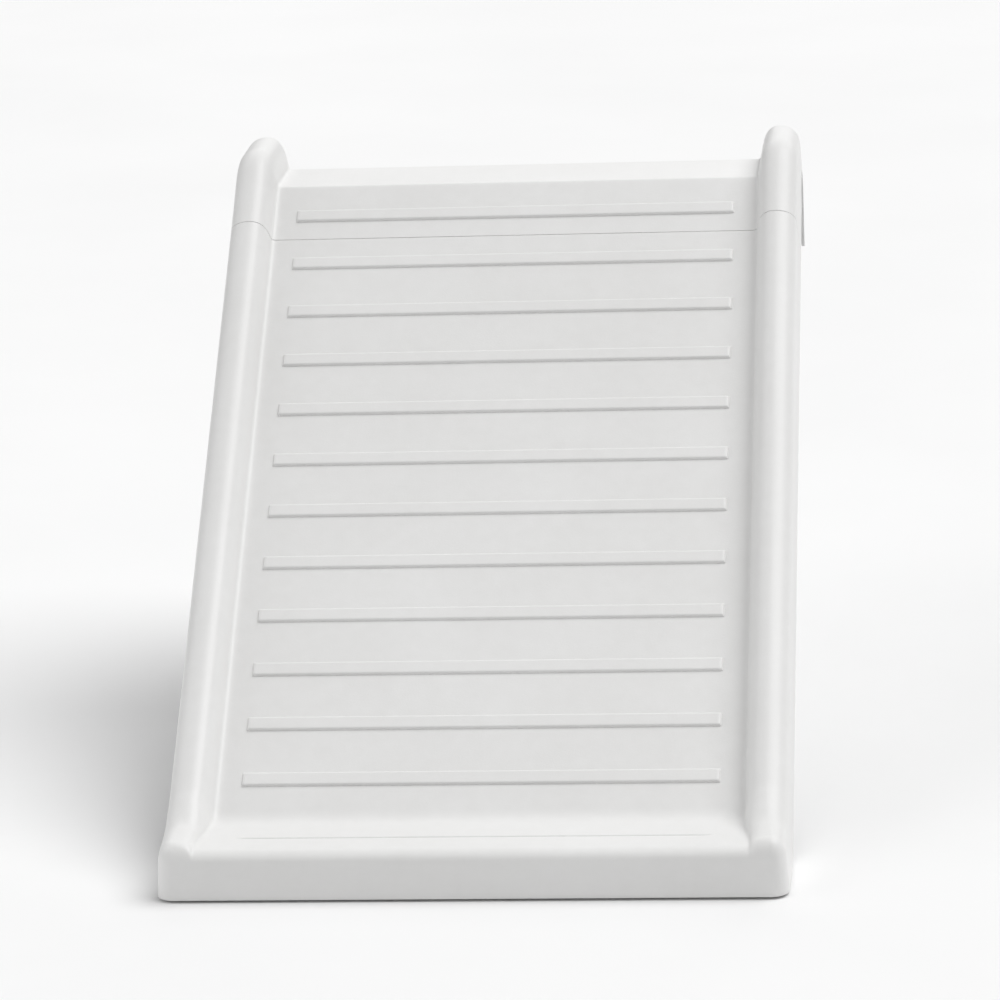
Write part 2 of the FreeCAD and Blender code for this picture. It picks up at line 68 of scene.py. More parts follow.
# ---------------------------------------------------------------------------
# paths in the YZ plane: polylines with rounded corners, read by arc length
# ---------------------------------------------------------------------------
def rounded_path(pts, step=1.0):
    out = [np.array(pts[0][:2], float)]
    for i in range(1, len(pts) - 1):
        p = np.array(pts[i][:2], float)
        a = np.array(pts[i - 1][:2], float)
        b = np.array(pts[i + 1][:2], float)
        r = pts[i][2]
        u, v = (a - p) / np.linalg.norm(a - p), (b - p) / np.linalg.norm(b - p)
        if r <= 0:
            out.append(p)
            continue
        half = math.acos(max(-1, min(1, float(u @ v)))) / 2
        d = r / math.tan(half)
        t1, t2 = p + u * d, p + v * d
        c = p + (u + v) / np.linalg.norm(u + v) * (r / math.sin(half))
        a1 = math.atan2(*(t1 - c)[::-1])
        a2 = math.atan2(*(t2 - c)[::-1])
        da = (a2 - a1 + math.pi) % (2 * math.pi) - math.pi
        n = max(6, int(abs(da) * r / step))
        for k in range(n + 1):
            t = a1 + da * k / n
            out.append(c + r * np.array([math.cos(t), math.sin(t)]))
    out.append(np.array(pts[-1][:2], float))
    return np.array(out)


class Path:
    def __init__(self, pts):
        self.p = rounded_path(pts)
        d = np.linalg.norm(np.diff(self.p, axis=0), axis=1)
        keep = np.concatenate([[True], d > 1e-9])
        self.p = self.p[keep]
        d = np.linalg.norm(np.diff(self.p, axis=0), axis=1)
        self.l = np.concatenate([[0], np.cumsum(d)])
        self.length = self.l[-1]

    def at(self, t):
        t = np.asarray(t, float)
        return np.stack([np.interp(t, self.l, self.p[:, 0]),
                         np.interp(t, self.l, self.p[:, 1])], -1)

    def near(self, q):
        """Arc length of the path's point nearest to q."""
        best, where = 1e18, 0.0
        for i in range(len(self.p) - 1):
            a, b = self.p[i], self.p[i + 1]
            ab = b - a
            t = max(0, min(1, float((q - a) @ ab / (ab @ ab))))
            d = np.linalg.norm(a + ab * t - q)
            if d < best:
                best, where = d, self.l[i] + t * math.sqrt(ab @ ab)
        return where


def guide(path, keys):
    """Arc lengths along path for loft values: keys is [(value, point)]."""
    vs = [k[0] for k in keys]
    ls = [path.near(np.array(k[1], float)) for k in keys]
    return lambda v: path.at(np.interp(v, vs, ls))


# ---------------------------------------------------------------------------
# cross section: from the skirt's edge up over the rail to the ramp's middle
# ---------------------------------------------------------------------------
def smooth(t):
    t = np.clip(t, 0, 1)
    return t * t * (3 - 2 * t)


# inner half of the rail, from the crest down to the deck: (inset from crest, share of height lost)
INNER = [(0, 0), (4.8, .014), (9.0, .058), (12.2, .122), (14.9, .205), (17.0, .30), (18.7, .41), (20.0, .53),
         (20.9, .65), (21.6, .76), (22.2, .855), (22.9, .92), (24.0, .962), (25.6, .986), (28.0, .997), (31.0, 1.0)]
OUTER_N = 16
SIDE_N = 9
DRAFT = 3.0                               # the moulding leans in by this over the depth of its walls


def deck_x():
    """Half of the deck, from the rail's foot to the middle."""
    a = [277.0, 272.0, 269.0, 267.5, 266.0, 264.5, 263.0, 261.0, 257.0]
    b = list(np.linspace(250, 0, 21))
    return a + b


def section(P, R, K, foot, drop):
    """Points (x, y, z) of half a cross section; drop is the height of the rail's rounded outer shoulder."""
    pts = []
    H = float(np.linalg.norm(P - R))
    e = (P - R) / H
    wall_top = R + e * drop
    for i in range(SIDE_N):
        t = i / SIDE_N
        q = K + (wall_top - K) * t
        pts.append((HALF - DRAFT * t, q[0], q[1]))
    a = HALF - DRAFT - foot
    for i in range(OUTER_N + 1):
        th = math.pi / 2 * i / OUTER_N
        cx, sx = math.cos(th), math.sin(th)
        x = foot + a * cx ** 0.92
        q = R + e * drop * (1 - sx ** 0.92)
        pts.append((x, q[0], q[1]))
    for dx, f in INNER[1:]:
        q = R + (P - R) * f
        pts.append((foot - dx, q[0], q[1]))
    for x in deck_x():
        pts.append((x, P[0], P[1]))
    return pts


def grid_mesh(name, rows, extra_faces=None):
    """Mesh from rows of points, each row a full section from left skirt to right skirt."""
    rows = np.array(rows)
    n, m = rows.shape[:2]
    verts = rows.reshape(-1, 3)
    faces = []
    for i in range(n - 1):
        for j in range(m - 1):
            faces.append((i * m + j, (i + 1) * m + j, (i + 1) * m + j + 1, i * m + j + 1))
    return verts, faces


def full_row(half_pts, sign=-1):
    """Mirror a half section (skirt to middle) to a full one, left to right."""
    h = np.array(half_pts)
    left = h.copy()
    left[:, 0] *= sign
    right = h[:-1][::-1]
    return np.concatenate([left, right])


def rib_height(s, x, ribs, half=RIB_HALF, w=RIB_W, h=RIB_H, r=2.7):
    """Low flat-topped ribs with rounded edges and ends."""
    out = np.zeros_like(x)
    for c in ribs:
        d = abs(s - c)
        if d < w / 2:
            e = max(0.0, d - (w / 2 - r)) / r
            prof = h * math.sqrt(max(0.0, 1 - e ** 2.2))
            end = np.clip((half - np.abs(x)) / 3.2, 0, 1)
            out = np.maximum(out, prof * np.sqrt(np.clip(1 - (1 - end) ** 2, 0, 1)))
    return out


def new_object(name, me):
    ob = bpy.data.objects.new(name, me)
    bpy.context.scene.collection.objects.link(ob)
    return ob


def skin_to_shell(name, verts, faces, lift, extras=(), wall=WALL, edge=0.55):
    """Wall of even thickness under a skin.  lift is what stands on the skin (ribs, grooves), left out of the inner face.
    extras are closed parts, such as screw bosses, that grow out of the inner face."""
    bm = bmesh.new()
    rib = bm.verts.layers.float_vector.new("rib")
    off = np.array([0.0, OY, OZ])
    for v, l in zip(verts, lift):
        w = bm.verts.new(Vector((np.array(v, float) - off) * 0.001))
        w[rib] = Vector(np.array(l, float) * 0.001)
    bm.verts.ensure_lookup_table()
    for f in faces:
        try:
            bm.faces.new([bm.verts[i] for i in f])
        except ValueError:
            pass
    bmesh.ops.remove_doubles(bm, verts=bm.verts, dist=2e-6)
    bmesh.ops.dissolve_degenerate(bm, edges=bm.edges, dist=1e-7)
    bmesh.ops.recalc_face_normals(bm, faces=bm.faces)
    if sum(f.normal.z * f.calc_area() for f in bm.faces) < 0:
        bmesh.ops.reverse_faces(bm, faces=bm.faces)
    bm.normal_update()
    bm.verts.index_update()
    n = len(bm.verts)
    bm.verts.ensure_lookup_table()
    outer, inner = [], []
    for v in bm.verts:
        k = min(v.calc_shell_factor(), 1.25)
        outer.append(tuple(v.co + v[rib]))
        inner.append(tuple(v.co - v.normal * wall * 0.001 * k))
    out_faces = [tuple(v.index for v in f.verts) for f in bm.faces]
    in_faces = [tuple(v.index + n for v in reversed(f.verts)) for f in bm.faces]
    rim, rim_edges = [], set()
    for e in bm.edges:
        if e.is_boundary:
            loop = e.link_loops[0]
            i, j = loop.vert.index, loop.link_loop_next.vert.index
            rim.append((j, i, i + n, j + n))
            rim_edges.add((min(i, j), max(i, j)))
            rim_edges.add((min(i, j) + n, max(i, j) + n))
    bm.free()
    me = bpy.data.meshes.new(name)
    me.from_pydata(outer + inner, [], out_faces + in_faces + rim)
    me.update()
    w = me.attributes.new("bevel_weight_edge", "FLOAT", "EDGE")
    w.data.foreach_set("value", [1.0 if (min(e.vertices), max(e.vertices)) in rim_edges else 0.0 for e in me.edges])
    ob = new_object(name, me)
    bev = ob.modifiers.new("edge", "BEVEL")
    bev.width = edge * 0.001
    bev.segments = 2
    bev.limit_method = "WEIGHT"
    bev.use_clamp_overlap = True
    apply_mods(ob)
    if extras:
        ev, ef = merge(extras)
        ex = bpy.data.meshes.new(name + "_bosses")
        ex.from_pydata([tuple((np.array(p) - off) * 0.001) for p in ev], [], ef)
        ex.update()
        tmp = bmesh.new()
        tmp.from_mesh(ex)
        bmesh.ops.recalc_face_normals(tmp, faces=tmp.faces)
        tmp.to_mesh(ex)
        tmp.free()
        tmp = bmesh.new()
        tmp.from_mesh(ob.data)
        tmp.from_mesh(ex)
        tmp.to_mesh(ob.data)
        tmp.free()
        bpy.data.meshes.remove(ex)
    return ob


def solid_object(name, verts, faces, merge_dist=1e-6):
    """Closed mesh from work-axes millimetres."""
    off = np.array([0.0, OY, OZ])
    me = bpy.data.meshes.new(name)
    me.from_pydata([tuple((np.array(p, float) - off) * 0.001) for p in verts], [], faces)
    bm = bmesh.new()
    bm.from_mesh(me)
    bmesh.ops.remove_doubles(bm, verts=bm.verts, dist=merge_dist)
    bmesh.ops.recalc_face_normals(bm, faces=bm.faces)
    bm.to_mesh(me)
    bm.free()
    return new_object(name, me)


def shade(ob, angle=35):
    for p in ob.data.polygons:
        p.use_smooth = True
    bpy.context.view_layer.objects.active = ob
    for o in bpy.context.selected_objects:
        o.select_set(False)
    ob.select_set(True)
    bpy.ops.object.shade_smooth_by_angle(angle=math.radians(angle), keep_sharp_edges=True)


def apply_mods(ob):
    dg = bpy.context.evaluated_depsgraph_get()
    me = bpy.data.meshes.new_from_object(ob.evaluated_get(dg), preserve_all_data_layers=True, depsgraph=dg)
    ob.modifiers.clear()
    old = ob.data
    ob.data = me
    bpy.data.meshes.remove(old)


# ---------------------------------------------------------------------------
# crest of the rails, foot of the deck, lower edge of the skirt
# ---------------------------------------------------------------------------
def line_cross(p, d, q, e):
    den = d[0] * e[1] - d[1] * e[0]
    t = ((q[0] - p[0]) * e[1] - (q[1] - p[1]) * e[0]) / den
    return np.array([p[0] + t * d[0], p[1] + t * d[1]])


U = np.array([CA, SA])
NOSE_A = np.array([8.0, 56.1])
NOSE_D = np.array([76.0, 29.0])
nose = line_cross(slope(0, RAIL_H), U, NOSE_A, NOSE_D)
knee = line_cross(slope(0, RAIL_H), U, (0, HORN_Z), (1, 0))
plat_front = line_cross(slope(0, 0), U, (0, PLAT_Z), (1, 0))
skirt_line = slope(0, -SKIRT)
notch = 31.0
skirt_front = line_cross(skirt_line, U, (OY - notch, 0), (0, 1))
skirt_toe = line_cross(skirt_line, U, (0, SKIRT_Z), (1, 0))
TOE_R = 20.0
F = TOE_R                                 # the section where the front cap starts

rampP = Path([(F, BZ), (BY, BZ, 34.0), tuple(slope(900, 0))])
rampR = Path([(F, 65.2), (58.0, 73.0, 60.0), (nose[0] + 14, nose[1] + 10.5, 60.0), tuple(slope(900, RAIL_H))])
rampK = Path([(F, SKIRT_Z), (skirt_toe[0], SKIRT_Z, 0.0), tuple(slope(900, -SKIRT))])
S0 = 70.0                                 # above this the three guides share s


def ramp_guides():
    gp = guide(rampP, [(-1, (F, BZ)), (0, slope(S0, 0)), (1, slope(SEAM - GAP / 2, 0))])
    gr = guide(rampR, [(-1, (F, 65.2)), (0, slope(S0, RAIL_H)), (1, slope(SEAM - GAP / 2, RAIL_H))])
    gk = guide(rampK, [(-1, (F, SKIRT_Z)), (-.5, (skirt_toe[0], SKIRT_Z)), (0, slope(S0, -SKIRT)),
                       (1, slope(SEAM - GAP / 2, -SKIRT))])
    return gp, gr, gk


ramp_ribs = [RIB1 - i * PITCH for i in range(1, 12)]


RIB_D = (0, 3.0, 5.6, 6.1, 6.7, 7.3, 7.8, 8.2, 8.48, 8.66, 8.74, 8.95, 10.2)


def rib_stations(ribs):
    out = []
    for r in ribs:
        out += [r + d for d in RIB_D] + [r - d for d in RIB_D[1:]]
    return out


def bare(values, ribs, gap=12.5):
    return [v for v in values if all(abs(v - r) > gap for r in ribs)]


def ramp_rows():
    gp, gr, gk = ramp_guides()
    top = SEAM - GAP / 2
    rows, lifts = [], []
    # toe end: from the front cap's section to s = S0
    vs = list(np.linspace(-1, 0, 41)) + [-.5]
    low_ribs = [r for r in ramp_ribs if r < S0 + 11]
    for r in low_ribs:
        base = rampP.near(slope(r, 0))
        total = rampP.near(slope(S0, 0))
        for d in [-d for d in RIB_D[:0:-1]] + list(RIB_D):
            t = (base + d) / total - 1
            if -1 < t < 0:
                vs.append(t)
    for y in (46.6, 47.4, 48.2, 48.8, 49.4, 50.0, 50.6, 51.2, 51.8, 52.6, 53.4):
        vs.append((y - F) / rampP.near(slope(S0, 0)) - 1)
    vs = sorted(set(round(v, 6) for v in vs))
    # upper part, along the slope
    ss = bare(list(np.arange(S0, top, 9.3)), ramp_ribs) + rib_stations([r for r in ramp_ribs if r > S0 - 11])
    ss = sorted(set(s for s in ss if S0 < s < top - 1.5)) + [top - 1.2, top - 0.5, top - 0.15, top]
    vs = vs + [(s - S0) / (top - S0) for s in ss]
    for v in vs:
        P, R, K = gp(v), gr(v), gk(v)
        s_deck = float((P - slope(0, 0)) @ U)
        if v < 0:
            w = smooth((v + 1) / 0.45)
        else:
            w = 1.0
        foot = 325.0 + (317.0 - 325.0) * w
        drop = 24.0
        half_pts = np.array(section(P, R, K, foot, drop))
        # ribs and the fine line on the toe strip
        n_deck = len(deck_x())
        xs = half_pts[-n_deck:, 0]
        up = np.array([-SA, CA]) if P[0] > BY else np.array([0.0, 1.0])
        h = rib_height(s_deck, xs, ramp_ribs) if P[0] > BY else np.zeros_like(xs)
        if P[0] < BY - 20:
            d = abs(P[0] - 50.0)
            if d < 1.9:
                fade = np.clip((259 - np.abs(xs)) / 4, 0, 1)
                h = h - 1.7 * (1 - (d / 1.9) ** 2) * fade
        lift = np.zeros_like(half_pts)
        lift[-n_deck:, 1] = up[0] * h
        lift[-n_deck:, 2] = up[1] * h
        rows.append(full_row(half_pts))
        lifts.append(full_row(lift))
    return rows, lifts


def toe_cap(row, verts, faces, m):
    """Close the front: the first section carried forward and over the edge, with round plan corners."""
    steps, nwall = OUTER_N, SIDE_N
    reach = TOE_R - DRAFT
    prof = []
    for i in range(1, steps + 1):
        th = math.pi / 2 * i / steps
        prof.append((reach * math.sin(th) ** 0.92, 1 - math.cos(th) ** 0.92))
    inner = [j for j in range(m) if abs(row[j][0]) <= 325.0 + 1e-6]
    crest_z = max(row[j][2] for j in inner)
    v = list(map(tuple, verts))
    new = {}
    for j in inner:
        x, y, z = row[j]
        # the strip turns over with a small radius, the noses of the rails with a large one
        drop = 13.5 + (24.0 - 13.5) * (z - BZ) / (crest_z - BZ)
        for k, (fwd, share) in enumerate(prof):
            new[(j, k)] = len(v)
            v.append((x, F - fwd, z - drop * share))
        z0 = z - drop
        for w in range(1, nwall + 1):
            new[(j, steps - 1 + w)] = len(v)
            t = w / nwall
            v.append((x, F - reach - DRAFT * t, z0 + (SKIRT_Z - z0) * t))
    for a, b in zip(inner[:-1], inner[1:]):
        faces.append((a, b, new[(b, 0)], new[(a, 0)]))
        for k in range(steps - 1 + nwall):
            faces.append((new[(a, k)], new[(b, k)], new[(b, k + 1)], new[(a, k + 1)]))
    # corner fans
    for side in (-1, 1):
        outer = [j for j in range(m) if side * row[j][0] > 325.0 + 1e-6]
        outer.sort(key=lambda j: (round(side * row[j][0], 4), -row[j][2]))
        # order: from the crest out and then down the wall
        crest = [j for j in inner if side * row[j][0] > 325 - 1e-3][0]
        order = sorted(outer, key=lambda j: abs(j - crest))
        nphi = 12
        ring = {}
        for q, j in enumerate(order):
            x, y, z = row[j]
            rho = side * x - 325.0
            for f in range(1, nphi + 1):
                phi = math.pi / 2 * f / nphi
                ring[(q, f)] = len(v)
                v.append((side * (325.0 + rho * math.cos(phi)), F - rho * math.sin(phi), z))
            ring[(q, 0)] = j
        for f in range(nphi):
            faces.append((crest, ring[(0, f)], ring[(0, f + 1)]))
            for q in range(len(order) - 1):
                faces.append((ring[(q, f)], ring[(q + 1, f)], ring[(q + 1, f + 1)], ring[(q, f + 1)]))
    return v, faces


# ---------------------------------------------------------------------------
# saddle guides
# ---------------------------------------------------------------------------
S1 = SEAM + GAP / 2
sadP = Path([tuple(slope(S1, 0)), (plat_front[0], PLAT_Z, 9.0), (PLAT_REAR, PLAT_Z, 14.0), (PLAT_REAR, HOOK_Z)])
sadR = Path([tuple(slope(S1, RAIL_H)), (knee[0], HORN_Z, 72.0), (HORN_REAR, HORN_Z, 59.0), (HORN_REAR, HOOK_Z)])
# lower edge of the side wall: skirt, round the rail's notch, down the rear leg
kp = [tuple(slope(S1, -SKIRT)), (skirt_front[0], skirt_front[1], 0.0)]
for k in range(0, 25):
    t = math.pi - math.pi * k / 24
    kp.append((OY + notch * math.cos(t), OZ + notch * math.sin(t), 0.0))
kp += [(OY + notch, HOOK_Z)]
sadK = Path(kp)


def saddle_rows():
    keyP = [(0, slope(S1, 0)), (.30, (plat_front[0] - 1.5, PLAT_Z - 1.0)), (.42, (plat_front[0] + 22, PLAT_Z)),
            (.60, (PLAT_REAR - 16, PLAT_Z)), (.78, (PLAT_REAR, PLAT_Z - 16)), (1, (PLAT_REAR, HOOK_Z))]
    keyR = [(0, slope(S1, RAIL_H)), (.30, (knee[0] - 6, HORN_Z - 6)), (.42, (knee[0] + 26, HORN_Z)),
            (.60, (HORN_REAR - 52, HORN_Z)), (.78, (HORN_REAR, HORN_Z - 62)), (1, (HORN_REAR, HOOK_Z))]
    keyK = [(0, slope(S1, -SKIRT)), (.30, (skirt_front[0], OZ)), (.42, (OY - 16, OZ + 26.5)),
            (.60, (OY + 18, OZ + 25.2)), (.78, (OY + notch, OZ)), (1, (OY + notch, HOOK_Z))]
    gp, gr, gk = guide(sadP, keyP), guide(sadR, keyR), guide(sadK, keyK)
    rib = [RIB1]
    s_top = float((np.array(keyP[1][1]) - slope(0, 0)) @ U)
    span = s_top - S1
    ss = [S1, S1 + .15, S1 + .5, S1 + 1.2] + bare(list(np.arange(S1 + 6, s_top, 6.0)), rib) + rib_stations(rib)
    vs = [0.30 * (s - S1) / span for s in sorted(ss) if s <= s_top]
    vs += list(np.linspace(.30, .42, 22)) + list(np.linspace(.42, .60, 16)) + list(np.linspace(.60, .78, 34))
    vs += list(np.linspace(.78, 1, 16))
    vs = sorted(set(round(v, 6) for v in vs))
    rows, lifts = [], []
    for v in vs:
        P, R, K = gp(v), gr(v), gk(v)
        s_deck = float((P - slope(0, 0)) @ U)
        half_pts = np.array(section(P, R, K, 317.0, 24.0))
        n_deck = len(deck_x())
        xs = half_pts[-n_deck:, 0]
        lift = np.zeros_like(half_pts)
        if v < .30:
            h = rib_height(s_deck, xs, rib)
            lift[-n_deck:, 1] = -SA * h
            lift[-n_deck:, 2] = CA * h
        rows.append(full_row(half_pts))
        lifts.append(full_row(lift))
    return rows, lifts


# ---------------------------------------------------------------------------
# turned and moulded details inside the shells
# ---------------------------------------------------------------------------
def axis_frame(d):
    d = np.array(d, float)
    d /= np.linalg.norm(d)
    a = np.array([1.0, 0, 0]) if abs(d[0]) < .9 else np.array([0, 1.0, 0])
    u = np.cross(d, a)
    u /= np.linalg.norm(u)
    return d, u, np.cross(d, u)


def lathe(profile, origin, d, seg=28):
    """Verts and faces of a body of revolution: profile is [(radius, distance along d)]."""
    d, u, w = axis_frame(d)
    o = np.array(origin, float)
    verts, faces = [], []
    for r, h in profile:
        for k in range(seg):
            a = 2 * math.pi * k / seg
            verts.append(o + d * h + (u * math.cos(a) + w * math.sin(a)) * r)
    for i in range(len(profile) - 1):
        for k in range(seg):
            k2 = (k + 1) % seg
            faces.append((i * seg + k, i * seg + k2, (i + 1) * seg + k2, (i + 1) * seg + k))
    faces.append(tuple(reversed(range(seg))))
    top = (len(profile) - 1) * seg
    faces.append(tuple(range(top, top + seg)))
    return verts, faces


def merge(parts):
    verts, faces = [], []
    for v, f in parts:
        b = len(verts)
        verts += [tuple(map(float, p)) for p in v]
        faces += [tuple(i + b for i in q) for q in f]
    return verts, faces


def boss_part(origin, d, length, r=7.0, hole=2.2):
    """Moulded screw boss: open bored end, soft edges, a root fillet into the wall it stands on."""
    prof = [(hole * .5, 12.4), (hole, 12.0), (hole, 0.6), (hole + .5, 0.1), (r - .9, 0.0), (r - .3, .25), (r, .9),
            (r + .2, length - 5.0), (r + .9, length - 2.6), (r + 2.2, length - 1.1), (r + 4.4, length - .2), (r + 4.4, length + .9)]
    return lathe(prof, origin, d)


def gusset(origin, d, side, length, reach, t=1.1):
    """Thin triangular web from a boss to its wall."""
    d, u, w = axis_frame(d)
    o = np.array(origin, float)
    s = np.array(side, float)
    s -= d * (s @ d)
    s /= np.linalg.norm(s)
    n = np.cross(d, s)
    a = [o + s * 6.6 + d * 4.0, o + s * 6.6 + d * (length - .4), o + s * (6.6 + reach) + d * (length - .4),
         o + s * (6.6 + reach) + d * (length - 1.4), o + s * 7.4 + d * 4.0]
    verts = [p + n * t / 2 for p in a] + [p - n * t / 2 for p in a]
    k = len(a)
    faces = [tuple(range(k)), tuple(reversed(range(k, 2 * k)))]
    for i in range(k):
        j = (i + 1) % k
        faces.append((i, i + k, j + k, j))
    return verts, faces


N3 = np.array([0.0, -SA, CA])
U3 = np.array([0.0, CA, SA])


def on3(x, s, n):
    y, z = slope(s, n)
    return np.array([x, y, z])


def web(p0, p1, down, depth, t=1.6):
    """Stiffening web under a deck: a thin tapered wall from p0 to p1, standing off along down."""
    p0, p1, down = (np.array(p, float) for p in (p0, p1, down))
    run = (p1 - p0) / np.linalg.norm(p1 - p0)
    side = np.cross(run, down)
    out = []
    for s in (1, -1):
        w = side * s * t / 2
        n = side * s * t * .32
        out += [p0 - down * .8 + w, p1 - down * .8 + w, p1 + w * .9 + down * depth * .55,
                p1 - run * depth * .6 + n + down * depth, p0 + run * depth * .6 + n + down * depth,
                p0 + w * .9 + down * depth * .55]
    k = 6
    faces = [tuple(range(k)), tuple(reversed(range(k, 2 * k)))]
    for i in range(k):
        j = (i + 1) % k
        faces.append((i, i + k, j + k, j))
    return out, faces


# ---------------------------------------------------------------------------
# mouldings
# ---------------------------------------------------------------------------
rows, lifts = ramp_rows()
verts, faces = grid_mesh("ramp", rows)
cols = len(rows[0])
verts, faces = toe_cap(np.array(rows[0]), verts, faces, cols)
lift = np.zeros((len(verts), 3))
lift[:len(rows) * cols] = np.array(lifts).reshape(-1, 3)

PLATE_N = -22.0
BEAM_S = (120.0, 430.0, 700.0)
BEAM_X = (-240.0, -80.0, 80.0, 240.0)
ramp_extras = []
for s in BEAM_S:
    for x in BEAM_X:
        ramp_extras.append(boss_part(on3(x, s, PLATE_N), N3, -PLATE_N - WALL))
for c in (-1, 1):
    for x in (-38.0, 38.0):
        p = on3(c * 110 + x, 780.0, PLATE_N)
        ramp_extras.append(boss_part(p, N3, -PLATE_N - WALL))
        ramp_extras.append(gusset(p, N3, -U3, -PLATE_N - WALL, 9.0))
for x in (-290.0, -150.0, 150.0, 290.0):
    p = np.array([x, 52.0, 8.0])
    ramp_extras.append(boss_part(p, (0, 0, 1), BZ - WALL - 8.0))
    for sx in (-1, 1):
        ramp_extras.append(gusset(p, (0, 0, 1), (sx, 0, 0), BZ - WALL - 8.0, 12.0))
for x in (-190.0, 0.0, 190.0):
    for s0, s1 in ((22.0, 97.0), (143.0, 264.0), (288.0, 407.0), (453.0, 560.0), (584.0, 677.0), (723.0, 760.0)):
        ramp_extras.append(web(on3(x, s0, -WALL), on3(x, s1, -WALL), -N3, 9.0))
for s in (276.0, 572.0):
    ramp_extras.append(web(on3(-262, s, -WALL), on3(262, s, -WALL), -N3, 7.0))
ramp_ob = skin_to_shell("ramp_moulding", verts, faces, lift, ramp_extras)
shade(ramp_ob, 38)

rows, lifts = saddle_rows()
verts, faces = grid_mesh("saddle", rows)
saddle_extras = []
for c in (-1, 1):
    for x in (-38.0, 38.0):
        p = on3(c * 110 + x, 884.0, PLATE_N)
        saddle_extras.append(boss_part(p, N3, -PLATE_N - WALL))
    for x in (-28.0, 28.0):
        for y in (-34.0, 34.0):
            saddle_extras.append(boss_part((c * 235 + x, OY + y, PLAT_Z - 17.0), (0, 0, 1), 17.0 - WALL, r=5.5, hole=2.0))
saddle_ob = skin_to_shell("saddle_moulding", verts, faces, np.array(lifts).reshape(-1, 3), saddle_extras)
shade(saddle_ob, 38)

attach(ramp_ob, "ramp")
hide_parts("ramp_shell")
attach(saddle_ob, "saddle")
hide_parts("saddle_shell")


# ---------------------------------------------------------------------------
# foam pad glued to the inner face of the apron
# ---------------------------------------------------------------------------
def foam_pad():
    x0, x1, z0, z1 = -269.6, 269.6, HOOK_Z + 6.4, HOOK_Z + 61.6
    back, depth = PLAT_REAR - WALL - .15, 7.6
    cx, cz = (x0 + x1) / 2, (z0 + z1) / 2
    hx, hz = (x1 - x0) / 2, (z1 - z0) / 2
    corner = 9.0

    def outline(inset, n_long=60, n_short=10, n_c=10):
        r = max(corner - inset, 1.5)
        ax, az = hx - inset - r, hz - inset - r
        pts = []
        for qx, qz, a0 in ((1, 1, 0.0), (-1, 1, .5), (-1, -1, 1.0), (1, -1, 1.5)):
            for k in range(n_c + 1):
                a = math.pi * (a0 + .5 * k / n_c)
                pts.append((qx * ax + r * math.cos(a), qz * az + r * math.sin(a)))
            nx = {(1, 1): (-1, 1), (-1, 1): (-1, -1), (-1, -1): (1, -1), (1, -1): (1, 1)}[(qx, qz)]
            steps = n_long if nx[1] == qz else n_short
            a = math.pi * (a0 + .5)
            p = np.array([qx * ax + r * math.cos(a), qz * az + r * math.sin(a)])
            q = np.array([nx[0] * ax + r * math.cos(a), nx[1] * az + r * math.sin(a)])
            for k in range(1, steps):
                pts.append(tuple(p + (q - p) * k / steps))
        # the long sides draw in a little between the corners
        out = []
        for x, z in pts:
            pull = 1.1 * (1 - (x / hx) ** 2) * min(1, abs(z) / hz)
            out.append((x, z - math.copysign(pull, z)))
        return out

    rings = []
    for inset, h in ((.5, 0.0), (.15, .25), (0, .8), (0, 2.6), (.25, 3.9), (.9, 5.2), (2.0, 6.1), (3.6, 6.7),
                     (4.6, 6.55), (5.4, 5.7), (6.2, 5.6), (7.0, 6.5), (9.0, 7.0), (14.0, 7.35), (22.0, 7.55), (31.0, 7.6)):
        rings.append([(x, h, z) for x, z in outline(inset)])
    n = len(rings[0])
    vv, ff = [], []
    for ring in rings:
        for x, h, z in ring:
            # slow unevenness of cut foam
            dip = .22 * math.sin(x * .031 + 1.3) * math.sin(z * .09 + .4) if h > 5.5 else 0.0
            vv.append((cx + x, back - (h / 7.6 * depth - abs(dip)), cz + z))
    for i in range(len(rings) - 1):
        for k in range(n):
            k2 = (k + 1) % n
            ff.append((i * n + k, i * n + k2, (i + 1) * n + k2, (i + 1) * n + k))
    ff.append(tuple(reversed(range(n))))
    top = (len(rings) - 1) * n
    ff.append(tuple(range(top, top + n)))
    ob = solid_object("apron_foam_pad", vv, ff)
    shade(ob, 50)
    return ob


pad_ob = foam_pad()
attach(pad_ob, "saddle")
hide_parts("liner_pad")


# ---------------------------------------------------------------------------
# hand knobs
# ---------------------------------------------------------------------------
def knob(name, x, body, node):
    zk = OZ - 24.0 - 6.6
    y = OY - 38.0
    seg = 96
    prof = []

    def wave(a):
        return (0.5 + 0.5 * math.cos(6 * a)) ** .8
    rings = []
    # (radius fraction of the lobe outline or plain radius, height, is_lobed)
    for kind, r, h in (("plain", 6.0, -.4), ("plain", 6.0, -13.4), ("plain", 6.5, -13.9), ("plain", 8.0, -13.95),
                       ("lobe", -4.2, -13.0), ("lobe", -3.4, -13.2), ("lobe", -2.3, -13.85), ("lobe", -1.5, -13.95),
                       ("lobe", -.6, -13.5), ("lobe", -.1, -12.6), ("lobe", 0, -11.6), ("lobe", 0, -5.0),
                       ("lobe", -.15, -3.8), ("lobe", -.7, -2.8), ("lobe", -1.6, -2.2), ("plain", 9.9, -2.0),
                       ("plain", 9.2, -1.5), ("plain", 9.0, -.8), ("plain", 8.8, -.15), ("plain", 8.2, 0.0),
                       ("plain", 6.4, 0.0)):
        ring = []
        for k in range(seg):
            a = 2 * math.pi * k / seg
            rad = (12.6 + 4.1 * wave(a) + r) if kind == "lobe" else r
            ring.append((x + rad * math.cos(a), y + rad * math.sin(a), zk + h))
        rings.append(ring)
    vv = [p for ring in rings for p in ring]
    ff = []
    n = len(rings)
    for i in range(n):
        j = (i + 1) % n
        for k in range(seg):
            k2 = (k + 1) % seg
            ff.append((i * seg + k, i * seg + k2, j * seg + k2, j * seg + k))
    ob = solid_object(name, vv, ff)
    shade(ob, 40)
    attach(ob, body)
    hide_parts(node)
    return ob


